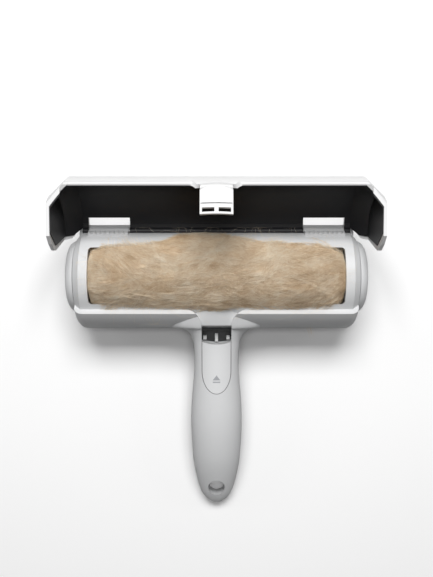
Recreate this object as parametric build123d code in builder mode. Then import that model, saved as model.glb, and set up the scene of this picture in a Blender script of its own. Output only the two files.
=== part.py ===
"""Reusable pet-hair lint roller with a rocking lint drum and a hinged hair box lid, shown open.

Millimetres. +X runs along the drum, +Y points away from the handle and +Z up. The pieces are drawn with the
drum's axis as X axis, and written standing on Z = 0, centred over the footprint of the whole roller.
Angles in a cross-section count from straight up, positive towards the back.
"""

import os
from math import cos, radians, sin

from build123d import *

# Drum and head
DRUM_R = 25.0  # over the lint strips
DRUM_CORE_R = 23.4
DRUM_WALL = 2.0
DRUM_DECK = 3.0  # height of the drum's flat top over its axis
DRUM_HALF = 84.0
AXLE_R = 2.0
AXLE_HALF = 91.5
RUNNING = 0.05  # radial play of a shaft in its bore
HEAD_R = 33.0
HEAD_HALF = 87.4
HEAD_WALL = 2.4
HEAD_ROUND = 5.5
HEAD_BOTTOM = -19.0
BOX_R = 29.2  # outside of the hair box, under the lid
BOX_WALL = 2.2
END_WALL = 2.4
WINDOW_HALF = 78.0
WINDOW_REACH = 17.3
WINDOW_CORNER = 2.0
CAP_R = 23.0
CAP_FACE_R = 19.4
CAP_INNER, CAP_OUTER = 88.2, 93.2

# Lid
LID_R = HEAD_R
LID_WALL = 2.2
LID_HALF = 96.0
LID_SHOULDER = 84.8  # where the end chamfer starts
LID_END_R = 22.5
LID_FRONT = -42.5  # angle of the front rim
LID_LIP = -43.6
LEDGE = -44.6
HOUSING_BACK = 82.5
LIP_R = 31.8
LID_BACK = 70.0
LID_OPEN = 99.3
HINGE_Y, HINGE_Z = 28.6, 8.7
HINGE_BEAM_R = 2.2
HINGE_ROD_R = 1.0
LID_HEEL_R = 3.9
HINGE_INNER, HINGE_OUTER = 54.4, 80.4
RIB_PLACES = (30.0, 50.0, 70.0)
FIN_PLACE = 44.5

# Tongue, latch and button
TONGUE_HALF = 8.9
TONGUE_TIP = 41.5
TONGUE_SMILE = 1.4
FLARE_R = 11.0
FLARE_START = 20.0
TONGUE_GAP = 0.4
CATCH_TOP, CATCH_BOTTOM = 6.2, 0.4
CATCH_THICK = 2.4
CELL_WIDE, CELL_HIGH = 6.6, 2.4
CELL_X = 4.4
PIT_FLOOR = -6.0
BUTTON_START = 42.5
BUTTON_HALF = 8.9
BUTTON_STRAIGHT_END = 59.5
BUTTON_OVAL = 14.2
BUTTON_GAP = 0.35
BUTTON_PRESS = 2.4

# Handle: how far ahead of the drum's axis, half width, top and bottom
HANDLE_WALL = 2.4
HANDLE_STATIONS = (
    (16.0, 38.0, 29.0, -10.0),
    (28.0, 31.0, 21.4, -9.2),
    (33.0, 22.6, 18.4, -8.6),
    (36.2, 17.6, 17.1, -8.4),
    (40.0, 15.3, 16.0, -8.4),
    (45.0, 14.4, 14.9, -8.8),
    (60.0, 14.3, 12.9, -11.0),
    (76.0, 15.6, 11.3, -13.5),
    (94.0, 16.4, 9.0, -16.5),
    (108.0, 15.9, 5.8, -19.0),
    (119.0, 15.2, 2.2, -21.5),
    (130.0, 13.5, -2.9, -23.8),
    (138.0, 11.7, -7.4, -25.3),
    (145.0, 8.9, -12.0, -24.4),
    (149.2, 4.9, -15.6, -22.0),
    (150.4, 3.0, -17.0, -20.6),
)
HANG_HOLE_AHEAD = 138.6
HANG_HOLE_R = 5.4
HANG_RIM_R = 7.7
PARTING_BENDS = ((30.0, 0.0), (90.0, -4.2), (150.0, -19.0))

# Stand: drum's axis over the centre of the footprint
AXIS_Y = 46.38
AXIS_Z = DRUM_R
STAND = Location((0, AXIS_Y, AXIS_Z))
HINGE_AXIS = Axis((0, HINGE_Y, HINGE_Z), (1, 0, 0))


def at(radius, angle):
    """Point of a cross-section at a radius and an angle from straight up."""
    return (radius * sin(radians(angle)), radius * cos(radians(angle)))


def ring_sector(inner, outer, start, end):
    """Cross-section between two radii and two angles."""
    middle = (start + end) / 2
    with BuildSketch(Plane.YZ) as section:
        with BuildLine():
            ThreePointArc(at(outer, start), at(outer, middle), at(outer, end))
            Line(at(outer, end), at(inner, end))
            ThreePointArc(at(inner, end), at(inner, middle), at(inner, start))
            Line(at(inner, start), at(outer, start))
        make_face()
    return section.sketch


def polygon(*points):
    """Cross-section with straight sides."""
    with BuildSketch(Plane.YZ) as section:
        with BuildLine():
            Polyline(*points, close=True)
        make_face()
    return section.sketch


def bar(section, half_length):
    """A cross-section drawn out to both sides of the middle."""
    with BuildPart() as piece:
        extrude(section, amount=half_length, both=True)
    return piece.part


def can(radius, half_length, shoulder, end_radius):
    """A barrel along X with chamfered ends."""
    with BuildPart() as barrel:
        with BuildSketch(Plane.XY):
            with BuildLine():
                Polyline(
                    (-half_length, 0),
                    (-half_length, end_radius),
                    (-shoulder, radius),
                    (shoulder, radius),
                    (half_length, end_radius),
                    (half_length, 0),
                    close=True,
                )
            make_face()
        revolve(axis=Axis.X)
    return barrel.part


def rounded_can(radius, half_length, rounding):
    """A barrel along X with rounded ends."""
    with BuildPart() as barrel:
        Cylinder(radius, 2 * half_length, rotation=(0, 90, 0))
        fillet(barrel.edges().filter_by(GeomType.CIRCLE), rounding)
    return barrel.part


def handle_form(shrink):
    """The handle's outer form, drawn in by shrink all round."""
    with BuildPart() as form:
        for ahead, half_width, top, bottom in HANDLE_STATIONS:
            half_height = (top - bottom) / 2 - shrink
            if half_height < 1.2:
                continue
            with BuildSketch(Plane.XZ.offset(ahead)):
                with Locations((0, (top + bottom) / 2)):
                    Ellipse(half_width - shrink, half_height)
        loft()
    return form.part


def tongue_plan(grow, tip):
    """The tongue seen from above: flared at the lid, straight towards the button."""
    half = TONGUE_HALF + grow
    radius = FLARE_R - grow
    centre_x = TONGUE_HALF + FLARE_R
    centre_y = -FLARE_START - FLARE_R
    middle = (centre_x - radius * cos(radians(45)), centre_y + radius * sin(radians(45)))
    top = centre_y + radius
    with BuildSketch(Plane.XY) as plan:
        with BuildLine():
            Line((0, top), (centre_x, top))
            ThreePointArc((centre_x, top), middle, (half, centre_y))
            Line((half, centre_y), (half, TONGUE_SMILE - tip))
            ThreePointArc((half, TONGUE_SMILE - tip), (half / 2, TONGUE_SMILE / 4 - tip), (0, -tip))
            mirror(about=Plane.YZ)
        make_face()
    return plan.sketch


def button_plan(grow):
    """The button seen from above: a curved front edge, straight sides and an oval end."""
    half = BUTTON_HALF + grow
    front = grow - BUTTON_START
    end = -BUTTON_STRAIGHT_END
    with BuildSketch(Plane.XY) as plan:
        with BuildLine():
            ThreePointArc((-half, front + TONGUE_SMILE), (0, front), (half, front + TONGUE_SMILE))
            Polyline((half, front + TONGUE_SMILE), (half, end), (-half, end), (-half, front + TONGUE_SMILE))
        make_face()
        with Locations((0, end)):
            Ellipse(half, BUTTON_OVAL + grow)
    return plan.sketch


def column(plan, low, high):
    """A plan drawn out upwards between two heights."""
    with BuildPart() as piece:
        with Locations((0, 0, low)):
            add(Solid.extrude(plan.faces()[0], Vector(0, 0, high - low)))
    return piece.part


def write(piece, name):
    """Stands a finished piece on the ground and writes it under its name."""
    placed = piece.moved(STAND)
    placed.label = name
    export_step(placed, f"parts/{name}.step")


os.makedirs("parts", exist_ok=True)

# Forms shared by several pieces
outer_handle = handle_form(0)
inner_handle = handle_form(HANDLE_WALL)
floor_handle = handle_form(HEAD_R - BOX_R)
head_can = rounded_can(HEAD_R, HEAD_HALF, HEAD_ROUND)
box_can = can(BOX_R, HEAD_HALF, HEAD_HALF - 4.0, BOX_R - 3.8)
parting = polygon(
    (45, 0),
    *((-ahead, height) for ahead, height in PARTING_BENDS),
    (-153, -19.7),
    (-153, 60),
    (45, 60),
)

# Cavities of the head
with BuildPart() as head_cavity:
    add(can(BOX_R - BOX_WALL, HEAD_HALF - END_WALL, 83.0, 25.0))
    with BuildPart(mode=Mode.PRIVATE) as lower_room:
        add(can(HEAD_R - HEAD_WALL, HEAD_HALF - END_WALL, 81.0, 25.5))
        add(bar(ring_sector(1.0, 60.0, -49.5, 87.5), 90.0), mode=Mode.SUBTRACT)
        with Locations((0, -30.0, 10.0)):
            Box(48.0, 40.0, 36.0, mode=Mode.SUBTRACT)
    add(lower_room.part)

# Outside of both housing halves
with BuildPart() as outside:
    add(head_can)
    add(bar(ring_sector(BOX_R - 6.0, 60.0, LEDGE, HOUSING_BACK), 100.0), mode=Mode.SUBTRACT)
    add(box_can)
    add(outer_handle)
    with BuildPart(mode=Mode.PRIVATE) as lid_room:
        add(bar(ring_sector(BOX_R, 60.0, LEDGE, HOUSING_BACK), 100.0))
        add(column(tongue_plan(TONGUE_GAP, TONGUE_TIP + 0.7), 2.0, 60.0))
        add(box_can, mode=Mode.SUBTRACT)
        add(floor_handle, mode=Mode.SUBTRACT)
    add(lid_room.part, mode=Mode.SUBTRACT)

with BuildPart() as handle_room:
    add(inner_handle)
    with Locations((0, -104.0, 0)):
        Box(60.0, 120.0, 80.0, mode=Mode.INTERSECT)

# Pit in front of the button that the catch drops into
with BuildPart() as latch_room:
    add(column(tongue_plan(TONGUE_GAP, TONGUE_TIP + 0.7), PIT_FLOOR, 60.0))
    latch_side = polygon((-30.6, 60), (-30.6, 14), (-33.3, 4), (-33.3, -12), (-60, -12), (-60, 60))
    add(bar(latch_side, 9.3), mode=Mode.INTERSECT)
    add(column(button_plan(BUTTON_GAP), -3.0, 60.0))

with BuildPart() as hang_tube:
    with Locations((0, -HANG_HOLE_AHEAD, -15.0)):
        Cylinder(HANG_RIM_R, 40.0)
    add(outer_handle, mode=Mode.INTERSECT)

with BuildPart() as hang_bore:
    with Locations((0, -HANG_HOLE_AHEAD, -15.0)):
        Cylinder(HANG_HOLE_R, 60.0)
    with Locations((0, -HANG_HOLE_AHEAD - 1.0, -7.2)):
        Cone(HANG_HOLE_R, HANG_RIM_R + 1.0, 4.0, rotation=(20, 0, 0))

# Screw bosses in the handle: distance ahead, and how low the screw head sits
BOSSES = (84.0, 104.0, 122.0)
BOSS_R = 3.4
SCREW_R = 1.4
SCREW_HEAD_R = 2.8
SPRING_AHEAD = 56.0
SPRING_FOOT, SPRING_TOP = -3.4, 6.4
SPRING_R, SPRING_WIRE_R = 2.4, 0.35


def parting_height(ahead):
    """Height of the joint between the two housings under the handle's far part."""
    (near, high), (far, low) = PARTING_BENDS[0:2] if ahead < 90.0 else PARTING_BENDS[1:3]
    return high + (ahead - near) * (low - high) / (far - near)


with BuildPart() as bosses:
    for ahead in BOSSES:
        with Locations((0, -ahead, -10.0)):
            Cylinder(BOSS_R, 50.0)
    with Locations((0, -SPRING_AHEAD, SPRING_FOOT - 15.0)):
        Cylinder(3.6, 30.0)
    add(outer_handle, mode=Mode.INTERSECT)

with BuildPart() as screw_holes:
    for ahead in BOSSES:
        height = parting_height(ahead)
        with Locations((0, -ahead, (height + 4.0 - 30.0) / 2)):
            Cylinder(SCREW_R, height + 4.0 + 30.0)
        with Locations((0, -ahead, (height - 6.0 - 32.0) / 2)):
            Cylinder(SCREW_HEAD_R + 0.1, height - 6.0 + 32.0)

with BuildPart() as screws:
    for ahead in BOSSES:
        height = parting_height(ahead)
        with Locations((0, -ahead, height - 1.3)):
            Cylinder(SCREW_R - RUNNING, 9.4)
        with Locations((0, -ahead, height - 7.0)):
            Cylinder(SCREW_HEAD_R, 2.0)
        with Locations((0, -ahead, height - 7.8)):
            Box(3.2, 0.6, 0.8, mode=Mode.SUBTRACT)
            Box(0.6, 3.2, 0.8, mode=Mode.SUBTRACT)

# Bearing bushes in the end walls
with BuildPart() as bushes:
    for side in (-1, 1):
        with Locations((side * (HEAD_HALF - END_WALL / 2), 0, 0)):
            Cylinder(4.2, END_WALL, rotation=(0, 90, 0))
        with Locations((side * (HEAD_HALF - END_WALL - 0.4), 0, 0)):
            Cylinder(5.2, 0.8, rotation=(0, 90, 0))
    Cylinder(AXLE_R + RUNNING, 200.0, rotation=(0, 90, 0), mode=Mode.SUBTRACT)

# Both housing halves in one, before they are parted
with BuildPart() as housing:
    add(outside.part)
    add(head_cavity.part, mode=Mode.SUBTRACT)
    add(handle_room.part, mode=Mode.SUBTRACT)
    add(hang_tube.part)
    add(bosses.part)
    add(latch_room.part, mode=Mode.SUBTRACT)
    add(hang_bore.part, mode=Mode.SUBTRACT)
    add(screw_holes.part, mode=Mode.SUBTRACT)
    Cylinder(4.2, 200.0, rotation=(0, 90, 0), mode=Mode.SUBTRACT)
    with BuildSketch(Plane.XY.offset(15.0)):
        RectangleRounded(2 * WINDOW_HALF, 2 * WINDOW_REACH, WINDOW_CORNER)
    extrude(amount=30.0, mode=Mode.SUBTRACT)
    with Locations((0, 0, HEAD_BOTTOM - 20.0)):
        Box(200.0, 61.0, 40.0, mode=Mode.SUBTRACT)
    with Locations((0, HINGE_Y, HINGE_Z)):
        Cylinder(HINGE_BEAM_R + 0.3, 200.0, rotation=(0, 90, 0), mode=Mode.SUBTRACT)
    with BuildPart(mode=Mode.PRIVATE) as heel_room:
        with Locations((0, HINGE_Y, HINGE_Z)):
            Cylinder(LID_HEEL_R, 200.0, rotation=(0, 90, 0))
        Cylinder(BOX_R, 300.0, rotation=(0, 90, 0), mode=Mode.SUBTRACT)
    add(heel_room.part, mode=Mode.SUBTRACT)
    for side in (-1, 1):
        add(bar(ring_sector(26.6, 31.0, side * 102.0, side * 123.0), 84.0))

with BuildPart() as upper_housing:
    add(housing.part)
    add(bar(parting, 100.0), mode=Mode.INTERSECT)

with BuildPart() as lower_housing:
    add(housing.part)
    add(bar(parting, 100.0), mode=Mode.SUBTRACT)

# Wiper blades and the fixed strips of lint fabric
with BuildPart() as front_wiper_blade:
    add(bar(ring_sector(25.3, 30.6, -126.6, -124.0), 80.8))

with BuildPart() as rear_wiper_blade:
    add(bar(ring_sector(25.3, 30.6, 124.0, 126.6), 80.8))

with BuildPart() as front_fixed_strip:
    add(bar(ring_sector(25.5, 26.6, -121.0, -104.0), 80.0))

with BuildPart() as rear_fixed_strip:
    add(bar(ring_sector(25.5, 26.6, 104.0, 121.0), 80.0))


def hinge_tab(side):
    """Ribbed leaf on the deck with the knuckle round the rod."""
    middle = side * (HINGE_INNER + HINGE_OUTER) / 2
    half = (HINGE_OUTER - HINGE_INNER) / 2 - 0.6
    leaf = ring_sector(BOX_R, BOX_R + 1.3, 58.5, 71.0)
    with BuildPart() as tab:
        with Locations((middle, 0, 0)):
            add(bar(leaf, half))
        for step in range(9):
            with Locations((middle + (step - 4) * 2.9, 0, 0)):
                add(bar(ring_sector(BOX_R + 1.2, BOX_R + 1.9, 59.5, 67.0), 0.7))
        with Locations((middle, HINGE_Y, HINGE_Z)):
            Cylinder(2.0, 2 * half, rotation=(0, 90, 0))
        with Locations((middle, HINGE_Y, HINGE_Z)):
            Cylinder(HINGE_ROD_R + RUNNING, 60.0, rotation=(0, 90, 0), mode=Mode.SUBTRACT)
    return tab.part


# Drum
with BuildPart() as drum_core:
    Cylinder(DRUM_CORE_R, 2 * DRUM_HALF, rotation=(0, 90, 0))
    Cylinder(DRUM_CORE_R - DRUM_WALL, 2 * (DRUM_HALF - 2.4), rotation=(0, 90, 0), mode=Mode.SUBTRACT)
    with Locations((0, 0, DRUM_DECK + 20.0)):
        Box(200.0, 60.0, 40.0, mode=Mode.SUBTRACT)
    for side in (-1, 1):
        with Locations((side * (DRUM_HALF - 3.4), 0, 0)):
            Cylinder(4.4, 4.0, rotation=(0, 90, 0))
    with Locations((0, 0, DRUM_DECK + 20.0)):
        Box(200.0, 60.0, 40.0, mode=Mode.SUBTRACT)
    Cylinder(AXLE_R, 2 * DRUM_HALF + 10.0, rotation=(0, 90, 0), mode=Mode.SUBTRACT)

DECK_HALF_Y = ((DRUM_CORE_R - DRUM_WALL) ** 2 - DRUM_DECK**2) ** 0.5 - 0.03

with BuildPart() as drum_deck:
    with Locations((0, 0, DRUM_DECK - 0.5)):
        Box(2 * (DRUM_HALF - 5.6), 2 * DECK_HALF_Y, 1.0)
    for place in (-50.0, -25.0, 0.0, 25.0, 50.0):
        with Locations((place, 0, DRUM_DECK - 3.0)):
            Box(1.6, 2 * DECK_HALF_Y - 4.0, 4.4)

with BuildPart() as front_lint_strip:
    add(bar(ring_sector(DRUM_CORE_R, DRUM_R - 0.2, -172.0, -105.0), 80.0))

with BuildPart() as rear_lint_strip:
    add(bar(ring_sector(DRUM_CORE_R, DRUM_R - 0.2, 105.0, 172.0), 80.0))

with BuildPart() as centre_rib:
    add(bar(ring_sector(DRUM_CORE_R, DRUM_R, 174.2, 185.8), 80.0))

with BuildPart() as axle:
    with Locations(((AXLE_HALF + DRUM_HALF - 5.4) / 2, 0, 0)):
        Cylinder(AXLE_R, AXLE_HALF - DRUM_HALF + 5.4, rotation=(0, 90, 0))

with BuildPart() as end_cap:
    with BuildSketch(Plane.XY):
        with BuildLine():
            Polyline((CAP_OUTER, CAP_FACE_R), (CAP_OUTER, 0), (CAP_INNER, 0), (CAP_INNER, CAP_R))
            ThreePointArc((CAP_INNER, CAP_R), (CAP_OUTER - 1.6, 21.6), (CAP_OUTER, CAP_FACE_R))
        make_face()
    revolve(axis=Axis.X)
    Cylinder(AXLE_R, 2 * AXLE_HALF, rotation=(0, 90, 0), mode=Mode.SUBTRACT)
    with Locations((CAP_OUTER, 0, 0)):
        Cylinder(3.0, 2 * (CAP_OUTER - AXLE_HALF), rotation=(0, 90, 0), mode=Mode.SUBTRACT)

with BuildPart() as cap_screw:
    with Locations(((AXLE_HALF + CAP_OUTER - 0.2) / 2, 0, 0)):
        Cylinder(2.9, CAP_OUTER - 0.2 - AXLE_HALF, rotation=(0, 90, 0))
    with Locations((CAP_OUTER - 0.2, 0, 0)):
        Box(1.2, 3.4, 0.7, mode=Mode.SUBTRACT)
        Box(1.2, 0.7, 3.4, mode=Mode.SUBTRACT)

# Hair gathered in the box, over the highest reach of the rocking drum
with BuildPart() as collected_hair:
    add(bar(ring_sector(2.0, BOX_R + 0.4, -33.0, 33.0), 76.0))
    add(bar(ring_sector(2.0, 26.4, -62.0, 62.0), 80.0))
    add(bar(polygon((0, 3.9), (40, 15.9), (40, -40), (-40, -40), (-40, 15.9)), 100.0), mode=Mode.SUBTRACT)

# Lid, drawn closed and written standing open
lid_can = can(LID_R, LID_HALF, LID_SHOULDER, LID_END_R)
shell_room = can(LID_R - LID_WALL, LID_HALF - 2.0, 84.22, 21.63)
liner_room = can(LID_R - 3.0, LID_HALF - 2.6, 83.9, 21.1)

lid_outline = polygon(
    at(60.0, LID_FRONT),
    (-22.0, 24.3),
    (-15.0, -5.3),
    (-9.0, -8.6),
    (-1.5, -10.6),
    (1.5, -10.0),
    (25.4, 3.2),
    at(29.6, LID_BACK),
    at(60.0, LID_BACK),
    (50.0, 60.0),
    (-40.0, 60.0),
)
liner_outline = polygon(
    at(60.0, LID_FRONT),
    (-22.0, 24.3),
    (-15.4, -3.6),
    (-1.0, -7.6),
    (24.9, 5.0),
    at(29.6, LID_BACK),
    at(60.0, LID_BACK),
    (50.0, 60.0),
    (-40.0, 60.0),
)

# Openings over the hinge tabs, from the back edge up
with BuildPart() as hinge_windows:
    for side in (-1, 1):
        with Locations((side * (HINGE_INNER + HINGE_OUTER) / 2, 0, 0)):
            add(bar(ring_sector(26.0, 36.0, 57.0, 80.0), (HINGE_OUTER - HINGE_INNER) / 2))

# Room over the front ledge, which the front of the closed lid must clear
with BuildPart() as ledge_room:
    add(bar(ring_sector(20.0, 40.0, -80.0, LID_LIP), HEAD_HALF + 0.5))

with BuildPart() as tongue_skin:
    add(column(tongue_plan(0, TONGUE_TIP), 2.0, 60.0))
    add(outer_handle, mode=Mode.INTERSECT)
    with BuildPart(mode=Mode.PRIVATE) as root_skin:
        add(bar(ring_sector(LID_R - LID_WALL, LID_R, -65.0, LID_FRONT), 30.0))
        add(column(tongue_plan(0, TONGUE_TIP), 2.0, 60.0), mode=Mode.INTERSECT)
    add(root_skin.part)
    add(handle_form(LID_WALL), mode=Mode.SUBTRACT)
    Cylinder(LID_R - LID_WALL, 200.0, rotation=(0, 90, 0), mode=Mode.SUBTRACT)
    add(bar(ring_sector(0.5, 60.0, -120.0, LID_FRONT), 60.0), mode=Mode.INTERSECT)

with BuildPart() as lid_shell:
    add(lid_can)
    add(shell_room, mode=Mode.SUBTRACT)
    add(bar(lid_outline, 100.0), mode=Mode.INTERSECT)
    add(ledge_room.part, mode=Mode.SUBTRACT)
    add(bar(ring_sector(LID_R - LID_WALL, LIP_R, LID_LIP, LID_FRONT), 84.0))
    add(tongue_skin.part)
    add(hinge_windows.part, mode=Mode.SUBTRACT)

# Rods for the hinge run in the beam along the liner's back edge
with BuildPart() as lid_liner:
    add(shell_room)
    add(liner_room, mode=Mode.SUBTRACT)
    add(bar(liner_outline, 100.0), mode=Mode.INTERSECT)
    add(ledge_room.part, mode=Mode.SUBTRACT)
    with Locations((0, HINGE_Y, HINGE_Z)):
        Cylinder(HINGE_BEAM_R, 168.0, rotation=(0, 90, 0))
    add(bar(ring_sector(29.6, LID_R - LID_WALL, 64.0, LID_BACK + 3.0), 84.0))
    add(hinge_windows.part, mode=Mode.SUBTRACT)
    for side in (-1, 1):
        with Locations((side * (HINGE_INNER + HINGE_OUTER) / 2, HINGE_Y, HINGE_Z)):
            Box(HINGE_OUTER - HINGE_INNER, 6.0, 6.0, mode=Mode.SUBTRACT)
        with Locations((side * (HINGE_INNER + HINGE_OUTER) / 2, HINGE_Y, HINGE_Z)):
            Cylinder(HINGE_ROD_R, 33.0, rotation=(0, 90, 0), mode=Mode.SUBTRACT)
        with Locations((side * FIN_PLACE, -18.6, 24.2)):
            Box(1.7, 4.2, 6.0, rotation=(-38, 0, 0), mode=Mode.SUBTRACT)
    add(lid_shell.part, mode=Mode.SUBTRACT)

with BuildPart() as locating_ribs:
    for side in (-1, 1):
        for place in RIB_PLACES:
            with Locations((side * place, 0, 0)):
                add(bar(ring_sector(LID_R - 3.5, LID_R - 3.0, -41.5, -33.0), 0.8))


def hinge_rod(side):
    """Steel rod through the tab, held in the beam on both sides of it."""
    with BuildPart() as rod:
        with Locations((side * (HINGE_INNER + HINGE_OUTER) / 2, HINGE_Y, HINGE_Z)):
            Cylinder(HINGE_ROD_R, 33.0, rotation=(0, 90, 0))
    return rod.part


# Catch: end wall of the tongue with two cells for the hooks
with BuildPart() as lid_catch:
    add(column(tongue_plan(0, TONGUE_TIP), CATCH_BOTTOM, 20.0))
    tongue_behind_wall = tongue_plan(0, TONGUE_TIP).moved(Location((0, CATCH_THICK, 0)))
    add(column(tongue_behind_wall, 0.0, 30.0), mode=Mode.SUBTRACT)
    with Locations((0, -TONGUE_TIP, 10.0)):
        Box(2 * TONGUE_HALF, 4 * CATCH_THICK, 40.0, mode=Mode.INTERSECT)
    for side in (-1, 1):
        with Locations((side * CELL_X, -TONGUE_TIP, CATCH_BOTTOM + 2.3)):
            Box(CELL_WIDE, 3 * CATCH_THICK, CELL_HIGH, mode=Mode.SUBTRACT)
    with Locations((0, -TONGUE_TIP + 0.4, CATCH_TOP)):
        Box(2 * TONGUE_HALF - 1.0, 3.6, 0.8, mode=Mode.SUBTRACT)
    add(handle_form(LID_WALL), mode=Mode.INTERSECT)

# Release button: a cup under the handle's skin, with two hooks pointing at the catch
with BuildPart() as release_button:
    add(column(button_plan(0), 4.0, 40.0))
    add(outer_handle, mode=Mode.INTERSECT)
    with BuildPart(mode=Mode.PRIVATE) as cup_room:
        add(column(button_plan(-1.6), -2.0, 40.0))
        add(handle_form(2.2), mode=Mode.INTERSECT)
    add(cup_room.part, mode=Mode.SUBTRACT)
    with BuildPart(mode=Mode.PRIVATE) as pad:
        with Locations((0, -SPRING_AHEAD, SPRING_TOP + 5.0)):
            Cylinder(3.4, 10.0)
        add(handle_form(1.2), mode=Mode.INTERSECT)
    add(pad.part)

with BuildPart() as button_hooks:
    with Locations((0, -45.0, 3.5)):
        Box(15.0, 4.6, 1.0)
    for side in (-1, 1):
        with Locations((side * 3.6, -44.7, 2.5)):
            Box(4.4, 4.2, 1.2)

# Guides on the pit's floor: two brackets and a centre rib under the button's edge
with BuildPart() as latch_guides:
    for side in (-1, 1):
        with Locations((side * 7.5, -39.2, (PIT_FLOOR - 0.6) / 2)):
            Box(2.2, 2.6, -0.6 - PIT_FLOOR)
    with Locations((0, -39.2, (PIT_FLOOR - 0.6) / 2)):
        Box(1.9, 5.2, -0.6 - PIT_FLOOR)

# Dark lining of the pit
with BuildPart() as latch_lining:
    with Locations((0, -35.6, (PIT_FLOOR + 9.0) / 2)):
        Box(18.6, 4.4, 9.0 - PIT_FLOOR)
    with Locations((0, -36.4, 4.4)):
        Box(18.0, 5.0, 20.0, mode=Mode.SUBTRACT)
    with Locations((0, -37.8, PIT_FLOOR + 0.2)):
        Box(18.6, 8.8, 0.4)
    add(latch_room.part, mode=Mode.INTERSECT)
    add(latch_guides.part, mode=Mode.SUBTRACT)

with BuildPart() as button_spring:
    coil_length = SPRING_TOP - SPRING_FOOT - 2 * SPRING_WIRE_R - 0.1
    with BuildLine() as coil:
        Helix(1.6, coil_length, SPRING_R, center=(0, -SPRING_AHEAD, SPRING_FOOT + SPRING_WIRE_R + 0.05))
    with BuildSketch(Plane(origin=coil.line @ 0, z_dir=coil.line % 0)):
        Circle(SPRING_WIRE_R)
    sweep(path=coil.line)

fixed_pieces = {
    "upper_housing": upper_housing.part,
    "lower_housing": lower_housing.part,
    "hinge_tab_left": hinge_tab(-1),
    "hinge_tab_right": hinge_tab(1),
    "front_wiper_blade": front_wiper_blade.part,
    "rear_wiper_blade": rear_wiper_blade.part,
    "front_fixed_strip": front_fixed_strip.part,
    "rear_fixed_strip": rear_fixed_strip.part,
    "handle_screws": screws.part,
    "axle_bushes": bushes.part,
    "button_spring": button_spring.part,
    "latch_guides": latch_guides.part,
    "latch_lining": latch_lining.part,
    "collected_hair": collected_hair.part,
    "release_button": release_button.part,
    "button_hooks": button_hooks.part,
    "drum_core": drum_core.part,
    "drum_deck": drum_deck.part,
    "front_lint_strip": front_lint_strip.part,
    "rear_lint_strip": rear_lint_strip.part,
    "drum_centre_rib": centre_rib.part,
    "drum_axle_right": axle.part,
    "drum_axle_left": axle.part.mirror(Plane.YZ),
    "end_cap_right": end_cap.part,
    "end_cap_left": end_cap.part.mirror(Plane.YZ),
    "cap_screw_right": cap_screw.part,
    "cap_screw_left": cap_screw.part.mirror(Plane.YZ),
}
lid_pieces = {
    "lid_shell": lid_shell.part.solids().sort_by(SortBy.VOLUME)[-1],
    "lid_liner": lid_liner.part,
    "lid_catch": lid_catch.part,
    "lid_ribs": locating_ribs.part,
    "hinge_rod_left": hinge_rod(-1),
    "hinge_rod_right": hinge_rod(1),
}
for name, piece in fixed_pieces.items():
    write(piece, name)
for name, piece in lid_pieces.items():
    write(piece.rotate(HINGE_AXIS, -LID_OPEN), name)
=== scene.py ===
"""Looks for the lint roller: materials, studio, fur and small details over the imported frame. Metres, Z up."""

import math
import random

import bmesh
import bpy
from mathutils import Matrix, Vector, noise


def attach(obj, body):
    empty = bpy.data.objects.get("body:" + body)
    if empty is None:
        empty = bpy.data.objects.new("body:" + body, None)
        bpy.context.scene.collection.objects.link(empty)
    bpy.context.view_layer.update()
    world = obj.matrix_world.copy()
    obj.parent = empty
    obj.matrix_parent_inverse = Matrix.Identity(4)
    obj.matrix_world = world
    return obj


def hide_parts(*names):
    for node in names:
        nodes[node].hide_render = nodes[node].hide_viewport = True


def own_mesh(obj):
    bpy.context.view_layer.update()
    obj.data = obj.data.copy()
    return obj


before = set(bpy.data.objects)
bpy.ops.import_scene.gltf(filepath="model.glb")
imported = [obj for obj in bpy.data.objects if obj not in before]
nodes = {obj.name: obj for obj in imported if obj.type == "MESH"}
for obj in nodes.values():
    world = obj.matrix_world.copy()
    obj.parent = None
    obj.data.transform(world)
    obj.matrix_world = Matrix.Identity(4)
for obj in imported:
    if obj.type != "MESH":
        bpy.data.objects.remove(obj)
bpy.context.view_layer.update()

MM = 0.001
AXIS_Y, AXIS_Z = 0.04638, 0.025  # the drum's axis


def place(x, y, z):
    """A point in millimetres from the drum's axis, in the row frame."""
    return Vector((x * MM, y * MM + AXIS_Y, z * MM + AXIS_Z))


# ---------------------------------------------------------------- materials


def node_tree(name):
    mat = bpy.data.materials.new(name)
    mat.use_nodes = True
    return mat, mat.node_tree


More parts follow.
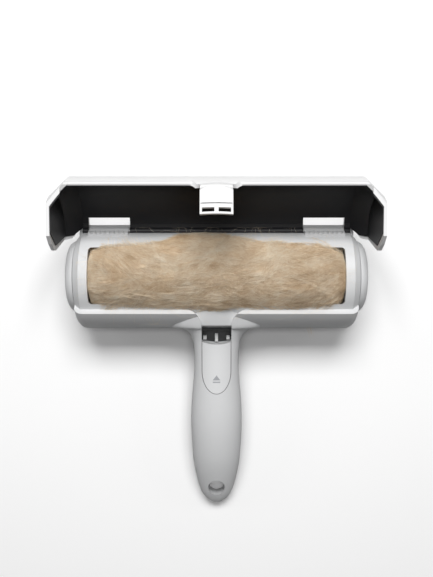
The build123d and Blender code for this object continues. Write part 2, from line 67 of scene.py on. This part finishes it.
def plastic(name, colour, rough, grain=0.03, grain_scale=9000.0, spread=0.03, specular=0.4, coat=0.0):
    """Moulded plastic: fine spark texture, faint uneven gloss and faint colour drift."""
    mat, tree = node_tree(name)
    link, new = tree.links.new, tree.nodes.new
    shader = tree.nodes["Principled BSDF"]
    coords = new("ShaderNodeTexCoord")
    drift = new("ShaderNodeTexNoise")
    drift.inputs["Scale"].default_value = 45.0
    drift.inputs["Detail"].default_value = 5.0
    link(coords.outputs["Object"], drift.inputs["Vector"])
    ramp = new("ShaderNodeMapRange")
    ramp.inputs["To Min"].default_value = 1.0 - spread
    ramp.inputs["To Max"].default_value = 1.0 + spread
    link(drift.outputs["Fac"], ramp.inputs["Value"])
    tint = new("ShaderNodeVectorMath")
    tint.operation = "SCALE"
    tint.inputs[0].default_value = colour
    link(ramp.outputs["Result"], tint.inputs["Scale"])
    link(tint.outputs["Vector"], shader.inputs["Base Color"])
    gloss = new("ShaderNodeMapRange")
    gloss.inputs["To Min"].default_value = rough - 0.06
    gloss.inputs["To Max"].default_value = rough + 0.06
    link(drift.outputs["Fac"], gloss.inputs["Value"])
    link(gloss.outputs["Result"], shader.inputs["Roughness"])
    spark = new("ShaderNodeTexNoise")
    spark.inputs["Scale"].default_value = grain_scale
    spark.inputs["Detail"].default_value = 2.0
    link(coords.outputs["Object"], spark.inputs["Vector"])
    bump = new("ShaderNodeBump")
    bump.inputs["Strength"].default_value = grain
    bump.inputs["Distance"].default_value = 0.0001
    link(spark.outputs["Fac"], bump.inputs["Height"])
    link(bump.outputs["Normal"], shader.inputs["Normal"])
    shader.inputs["Specular IOR Level"].default_value = specular
    shader.inputs["Coat Weight"].default_value = coat
    return mat


def steel(name):
    mat, tree = node_tree(name)
    link, new = tree.links.new, tree.nodes.new
    shader = tree.nodes["Principled BSDF"]
    coords = new("ShaderNodeTexCoord")
    stretch = new("ShaderNodeMapping")
    stretch.inputs["Scale"].default_value = (40.0, 2500.0, 2500.0)
    link(coords.outputs["Object"], stretch.inputs["Vector"])
    drawn = new("ShaderNodeTexNoise")
    drawn.inputs["Scale"].default_value = 3.0
    link(stretch.outputs["Vector"], drawn.inputs["Vector"])
    ramp = new("ShaderNodeMapRange")
    ramp.inputs["To Min"].default_value = 0.22
    ramp.inputs["To Max"].default_value = 0.42
    link(drawn.outputs["Fac"], ramp.inputs["Value"])
    link(ramp.outputs["Result"], shader.inputs["Roughness"])
    tone = new("ShaderNodeValToRGB")
    tone.color_ramp.elements[0].color = (0.48, 0.48, 0.49, 1)
    tone.color_ramp.elements[1].color = (0.66, 0.66, 0.67, 1)
    link(drawn.outputs["Fac"], tone.inputs["Fac"])
    link(tone.outputs["Color"], shader.inputs["Base Color"])
    shader.inputs["Metallic"].default_value = 1.0
    return mat


def fabric(name, dark, light):
    mat, tree = node_tree(name)
    link, new = tree.links.new, tree.nodes.new
    shader = tree.nodes["Principled BSDF"]
    coords = new("ShaderNodeTexCoord")
    nap = new("ShaderNodeTexNoise")
    nap.inputs["Scale"].default_value = 2600.0
    nap.inputs["Detail"].default_value = 4.0
    link(coords.outputs["Object"], nap.inputs["Vector"])
    tone = new("ShaderNodeValToRGB")
    tone.color_ramp.elements[0].position = 0.3
    tone.color_ramp.elements[0].color = (*dark, 1)
    tone.color_ramp.elements[1].position = 0.7
    tone.color_ramp.elements[1].color = (*light, 1)
    link(nap.outputs["Fac"], tone.inputs["Fac"])
    link(tone.outputs["Color"], shader.inputs["Base Color"])
    bump = new("ShaderNodeBump")
    bump.inputs["Strength"].default_value = 0.7
    bump.inputs["Distance"].default_value = 0.0003
    link(nap.outputs["Fac"], bump.inputs["Height"])
    link(bump.outputs["Normal"], shader.inputs["Normal"])
    shader.inputs["Roughness"].default_value = 0.9
    shader.inputs["Sheen Weight"].default_value = 0.4
    return mat


def fur_fibre(name, dark, light, glow):
    """Strand colour changes from hair to hair with the hair's place, and a little along it."""
    mat, tree = node_tree(name)
    link, new = tree.links.new, tree.nodes.new
    shader = tree.nodes["Principled BSDF"]
    coords = new("ShaderNodeTexCoord")
    patch = new("ShaderNodeTexNoise")
    patch.inputs["Scale"].default_value = 110.0
    patch.inputs["Detail"].default_value = 6.0
    patch.inputs["Roughness"].default_value = 0.7
    link(coords.outputs["Object"], patch.inputs["Vector"])
    tone = new("ShaderNodeValToRGB")
    tone.color_ramp.elements[0].position = 0.33
    tone.color_ramp.elements[0].color = (*dark, 1)
    tone.color_ramp.elements[1].position = 0.62
    tone.color_ramp.elements[1].color = (*light, 1)
    link(patch.outputs["Fac"], tone.inputs["Fac"])
    link(tone.outputs["Color"], shader.inputs["Base Color"])
    shader.inputs["Roughness"].default_value = 0.55
    shader.inputs["Specular IOR Level"].default_value = 0.3
    shader.inputs["Sheen Weight"].default_value = glow
    return mat


housing_mat = plastic("housing", (0.66, 0.665, 0.67), 0.48)
lid_mat = plastic("lid", (0.78, 0.78, 0.78), 0.45)
# Near-black plastic on the lid liner and the latch lining: painted shade, a dark sheet standing in for the deep
# shade inside the lid and the latch cavity.
painted_shade_mat = plastic("dark", (0.016, 0.016, 0.018), 0.45, specular=0.35)
button_mat = plastic("button", (0.70, 0.705, 0.71), 0.4)
drum_mat = plastic("drum", (0.52, 0.52, 0.53), 0.5)
bush_mat = plastic("bush", (0.80, 0.79, 0.73), 0.4)
rubber_mat = plastic("rubber", (0.025, 0.025, 0.026), 0.7, grain=0.1, specular=0.25)
steel_mat = steel("steel")
lint_mat = fabric("lint", (0.10, 0.008, 0.010), (0.32, 0.03, 0.035))

FINISH = {
    "upper_housing": housing_mat,
    "lower_housing": housing_mat,
    "hinge_tab_left": housing_mat,
    "hinge_tab_right": housing_mat,
    "front_wiper_blade": rubber_mat,
    "rear_wiper_blade": rubber_mat,
    "front_fixed_strip": lint_mat,
    "rear_fixed_strip": lint_mat,
    "handle_screws": steel_mat,
    "axle_bushes": bush_mat,
    "button_spring": steel_mat,
    "latch_guides": lid_mat,
    "latch_lining": painted_shade_mat,
    "release_button": button_mat,
    "button_hooks": button_mat,
    "drum_core": drum_mat,
    "drum_deck": drum_mat,
    "front_lint_strip": lint_mat,
    "rear_lint_strip": lint_mat,
    "drum_centre_rib": rubber_mat,
    "drum_axle_left": steel_mat,
    "drum_axle_right": steel_mat,
    "end_cap_left": housing_mat,
    "end_cap_right": housing_mat,
    "cap_screw_left": steel_mat,
    "cap_screw_right": steel_mat,
    "lid_shell": lid_mat,
    "lid_liner": painted_shade_mat,
    "lid_catch": lid_mat,
    "lid_ribs": lid_mat,
    "hinge_rod_left": steel_mat,
    "hinge_rod_right": steel_mat,
}
for name, mat in FINISH.items():
    mesh = nodes[name].data
    mesh.materials.clear()
    mesh.materials.append(mat)


def finished(obj, mat, body):
    """Gives a made piece its material and body."""
    obj.data.materials.clear()
    obj.data.materials.append(mat)
    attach(obj, body)
    return obj


def mesh_object(name, verts, faces, smooth=True):
    mesh = bpy.data.meshes.new(name)
    mesh.from_pydata(verts, [], faces)
    mesh.validate()
    mesh.update()
    for face in mesh.polygons:
        face.use_smooth = smooth
    obj = bpy.data.objects.new(name, mesh)
    bpy.context.collection.objects.link(obj)
    return obj


# ---------------------------------------------------------------- fur


def grain(x, y, scale, layer):
    return noise.noise(Vector((x * scale, y * scale, layer)))


BACK_EDGE = [(-79, 13), (-76, 16), (-63, 18.2), (-34, 20.5), (-25, 25.5), (-12, 26.8), (0, 26), (12, 23.5),
             (24, 21), (45, 19), (62, 18.5), (74, 15.5), (79, 12)]
FRONT_EDGE = [(-79, -14), (-74, -17), (-40, -18.8), (-8, -19), (-5, -20.6), (1, -21.4), (7, -20.6), (10, -19),
              (50, -19), (74, -17), (79, -13)]


def along(edge, x):
    """Height of a polyline at x."""
    for (x0, y0), (x1, y1) in zip(edge, edge[1:]):
        if x <= x1:
            part = min(max((x - x0) / (x1 - x0), 0), 1)
            return y0 + (y1 - y0) * part
    return edge[-1][1]


DECK_R = 29.2


def deck_height(y):
    return math.sqrt(max(DECK_R**2 - y * y, 40.0))


def heap_height(x, y):
    """Top of the fur in millimetres over the drum's axis."""
    back, front = along(BACK_EDGE, x), along(FRONT_EDGE, x)
    middle, half = (back + front) / 2, (back - front) / 2
    v = min(abs(y - middle) / half, 1.2)
    u = min(abs(x) / 78.5, 1.2)
    dome = max(1 - v**2.4, -0.3) * max(1 - u**10, -0.4)
    lumps = 4.6 + 3.0 * grain(x, y * 1.3, 0.045, 3.0) + 1.6 * grain(x, y, 0.12, 8.0)
    corner = max(0.0, u - 0.9) * max(0.0, v - 0.55) * 120.0
    return deck_height(y) + dome * lumps - corner + 0.1


def flow(x, y):
    """Direction the fur lies in, in radians from +X."""
    swirl = 1.5 * grain(x, y, 0.028, 21.0) + 0.9 * grain(x, y, 0.075, 27.0)
    return swirl + (0.35 if x > 0 else -0.05)


def inside_fur(x, y, margin=0.0):
    return along(FRONT_EDGE, x) + margin < y < along(BACK_EDGE, x) - margin and abs(x) < 78.5 - margin


def strand_mesh(name, paths, radius):
    """Many thin three-sided hairs in one mesh."""
    verts, faces = [], []
    for path in paths:
        first = len(verts)
        count = len(path)
        for i, point in enumerate(path):
            ahead = path[min(i + 1, count - 1)] - path[max(i - 1, 0)]
            ahead.normalize()
            side = ahead.cross(Vector((0, 0, 1)))
            if side.length < 0.01:
                side = Vector((1, 0, 0))
            side.normalize()
            up = side.cross(ahead)
            taper = radius * (1.0 - 0.75 * i / (count - 1))
            for turn in range(3):
                angle = turn * 2.0944
                verts.append(place(*(point + (side * math.cos(angle) + up * math.sin(angle)) * taper)))
        for i in range(count - 1):
            for turn in range(3):
                a = first + i * 3 + turn
                b = first + i * 3 + (turn + 1) % 3
                faces.append((a, b, b + 3, a + 3))
    return mesh_object(name, verts, faces)


def lock_paths(rng, count, per_lock, tone_low, tone_high, spread, lift_most):
    """Locks of hair that lie along the flow; only where the tone field is within the given range."""
    paths = []
    while count > 0:
        x, y = rng.uniform(-79, 79), rng.uniform(-22, 28)
        if not inside_fur(x, y):
            continue
        tone = grain(x, y, 0.06, 41.0) + 0.5 * grain(x, y, 0.17, 47.0) + rng.uniform(-0.25, 0.25)
        if not tone_low < tone < tone_high:
            continue
        count -= 1
        length = rng.uniform(10, 24)
        bend = rng.gauss(0, 0.035)
        angle = flow(x, y) + rng.gauss(0, 0.30) + (math.pi if rng.random() < 0.5 else 0)
        steps = 6
        guide = [(x, y)]
        for _ in range(steps):
            swing = flow(guide[-1][0], guide[-1][1])
            turn = math.sin(2 * (swing - angle)) * 0.12
            angle += bend * length / steps + turn
            gx = guide[-1][0] + math.cos(angle) * length / steps
            gy = guide[-1][1] + math.sin(angle) * length / steps
            guide.append((gx, gy))
        lift = rng.uniform(0.1, lift_most)
        for _ in range(per_lock):
            side = rng.gauss(0, spread)
            slip = rng.gauss(0, 1.6)
            pinch = rng.uniform(0.3, 1.0)
            rise = abs(rng.gauss(0, 0.35)) + 0.05
            wave = rng.uniform(-0.5, 0.5)
            path = []
            for i, (gx, gy) in enumerate(guide):
                t = i / steps
                reach = side * (1 - pinch * t) + wave * math.sin(3.1 * t)
                px = gx + slip * math.cos(angle) - reach * math.sin(angle)
                py = gy + slip * math.sin(angle) + reach * math.cos(angle)
                px = max(-77.0, min(77.0, px))
                height = heap_height(px, py) + rise * (0.3 + t) + lift * math.sin(math.pi * t)
                path.append(Vector((px, py, height)))
            paths.append(path)
    return paths


def stray_paths(rng, count):
    """Long single hairs curling out over the deck, the ledge and the hinge."""
    paths = []
    while len(paths) < count:
        x, y = rng.uniform(-76, 76), rng.uniform(-20, 25)
        if not inside_fur(x, y, 0.5):
            continue
        length = rng.uniform(14, 34)
        angle = rng.uniform(0, 2 * math.pi)
        bend = rng.choice((-1, 1)) * rng.uniform(0.01, 0.09)
        rise = rng.uniform(0.5, 2.6)
        path = []
        steps = 9
        for i in range(steps + 1):
            t = i / steps
            height = heap_height(x, y) if inside_fur(x, y) else deck_height(y) + 0.3
            if y < -19.0:
                height = max(math.sqrt(max(33.2**2 - y * y, 100.0)), height)
            if y > 26.0:
                height = max(height, 13.5)
            path.append(Vector((x, y, height + rise * math.sin(math.pi * (0.15 + 0.8 * t)))))
            angle += bend * length / steps
            x += math.cos(angle) * length / steps
            y += math.sin(angle) * length / steps
            x = max(-84.0, min(84.0, x))
            y = max(-30.0, min(30.0, y))
        paths.append(path)
    return paths


def heap_mesh():
    """Lumpy body of the fur: top follows the heap, underneath it stands in the window and lies on the deck."""
    columns, rows = 210, 64
    verts, faces = [], []
    for level in (0, 1):
        for i in range(columns + 1):
            x = -77.4 + 154.8 * i / columns
            back, front = along(BACK_EDGE, x) - 0.6, along(FRONT_EDGE, x) + 0.6
            for j in range(rows + 1):
                y = front + (back - front) * j / rows
                top = heap_height(x, y) - 0.15
                in_window = abs(y) < 16.9 and abs(x) < 77.5
                low = 14.0 if in_window else deck_height(y) + 0.05
                verts.append(place(x, y, max(top, low + 0.02) if level == 0 else low))
    layer = (columns + 1) * (rows + 1)

    def at(i, j, level):
        return level * layer + i * (rows + 1) + j

    for i in range(columns):
        for j in range(rows):
            faces.append((at(i, j, 0), at(i + 1, j, 0), at(i + 1, j + 1, 0), at(i, j + 1, 0)))
            faces.append((at(i, j, 1), at(i, j + 1, 1), at(i + 1, j + 1, 1), at(i + 1, j, 1)))
    for i in range(columns):
        faces.append((at(i, 0, 0), at(i, 0, 1), at(i + 1, 0, 1), at(i + 1, 0, 0)))
        faces.append((at(i, rows, 0), at(i + 1, rows, 0), at(i + 1, rows, 1), at(i, rows, 1)))
    for j in range(rows):
        faces.append((at(0, j, 0), at(0, j + 1, 0), at(0, j + 1, 1), at(0, j, 1)))
        faces.append((at(columns, j, 0), at(columns, j, 1), at(columns, j + 1, 1), at(columns, j + 1, 0)))
    return mesh_object("fur_heap", verts, faces)


fur_dark = fur_fibre("fur_dark", (0.56, 0.38, 0.20), (0.78, 0.59, 0.38), 0.1)
fur_mid = fur_fibre("fur_mid", (0.72, 0.53, 0.33), (0.92, 0.77, 0.57), 0.15)
fur_light = fur_fibre("fur_light", (0.86, 0.70, 0.49), (0.97, 0.88, 0.72), 0.2)

rng = random.Random(11)
dense = 1.0
fur = [
    (heap_mesh(), fur_mid),
    (
        strand_mesh("fur_shadow_locks", lock_paths(rng, int(550 * dense), 9, -2.0, 0.10, 2.4, 0.8), 0.07),
        fur_dark,
    ),
    (
        strand_mesh("fur_locks", lock_paths(rng, int(600 * dense), 9, -0.3, 0.45, 2.6, 1.2), 0.07),
        fur_mid,
    ),
    (
        strand_mesh("fur_light_locks", lock_paths(rng, int(560 * dense), 9, -0.1, 2.0, 2.4, 1.6), 0.065),
        fur_light,
    ),
    (strand_mesh("fur_strays", stray_paths(rng, 330), 0.05), fur_light),
]
for obj, mat in fur:
    finished(obj, mat, "housing")
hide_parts("collected_hair")

# Each fur object gets its own copy of its mesh data.
for obj, mat in fur:
    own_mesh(obj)


# ---------------------------------------------------------------- eject mark on the button


def button_top(y):
    """Height of the button's top on its middle line."""
    return 14.9 - (abs(y) - 45.0) * 0.133


mark_verts, mark_faces = [], []
mark_parts = [
    [(-2.3, -65.0), (2.3, -65.0), (0.0, -61.9)],
    [(-2.3, -66.6), (2.3, -66.6), (2.3, -65.9), (-2.3, -65.9)],
]
for part in mark_parts:
    first = len(mark_verts)
    count = len(part)
    for x, y in part:
        mark_verts.append(place(x, y, button_top(y) + 0.32))
    for x, y in part:
        mark_verts.append(place(x, y, button_top(y) - 0.35))
    mark_faces.append(tuple(range(first, first + count)))
    mark_faces.append(tuple(reversed(range(first + count, first + 2 * count))))
    for i in range(count):
        j = (i + 1) % count
        mark_faces.append((first + i, first + count + i, first + count + j, first + j))
mark_mat = plastic("mark", (0.38, 0.39, 0.41), 0.5)
mark = mesh_object("eject_mark", mark_verts, mark_faces, smooth=False)
finished(mark, mark_mat, "button")


# ---------------------------------------------------------------- studio

bpy.ops.mesh.primitive_plane_add(size=6, location=(0, 0, -0.0003))
floor = bpy.context.object
floor.name = "floor"
floor_mat = plastic("floor", (0.97, 0.97, 0.97), 0.8, spread=0.002, specular=0.1)
floor.data.materials.append(floor_mat)
floor.visible_diffuse = False


def area_light(name, place_m, target, size, power, size_y=None):
    data = bpy.data.lights.new(name, "AREA")
    data.shape = "RECTANGLE"
    data.size = size
    data.size_y = size_y or size
    data.energy = power
    lamp = bpy.data.objects.new(name, data)
    lamp.location = place_m
    lamp.rotation_euler = (Vector(target) - Vector(place_m)).to_track_quat("-Z", "Y").to_euler()
    bpy.context.collection.objects.link(lamp)
    return lamp


area_light("top", (0.0, 0.62, 1.0), (0, 0.02, 0), 0.7, 12.5, 0.4)
area_light("overhead", (0.0, 0.1, 1.3), (0, 0.02, 0), 0.5, 3.8, 0.3)
area_light("left", (-0.8, 0.35, 0.5), (0, 0, 0.03), 0.3, 0.5)
area_light("right", (0.8, 0.35, 0.5), (0, 0, 0.03), 0.3, 0.5)

world = bpy.data.worlds.new("studio")
bpy.context.scene.world = world
world.use_nodes = True
world.node_tree.nodes["Background"].inputs["Color"].default_value = (1, 1, 1, 1)
world.node_tree.nodes["Background"].inputs["Strength"].default_value = 0.06

bpy.context.scene.view_settings.view_transform = "Standard"

camera_data = bpy.data.cameras.new("camera")
camera_data.lens = 41.7
camera_data.sensor_width = 36
camera = bpy.data.objects.new("camera", camera_data)
camera.location = place(0, -7.7, 430.0)
camera.rotation_euler = (0, 0, 0)
bpy.context.collection.objects.link(camera)
bpy.context.scene.camera = camera
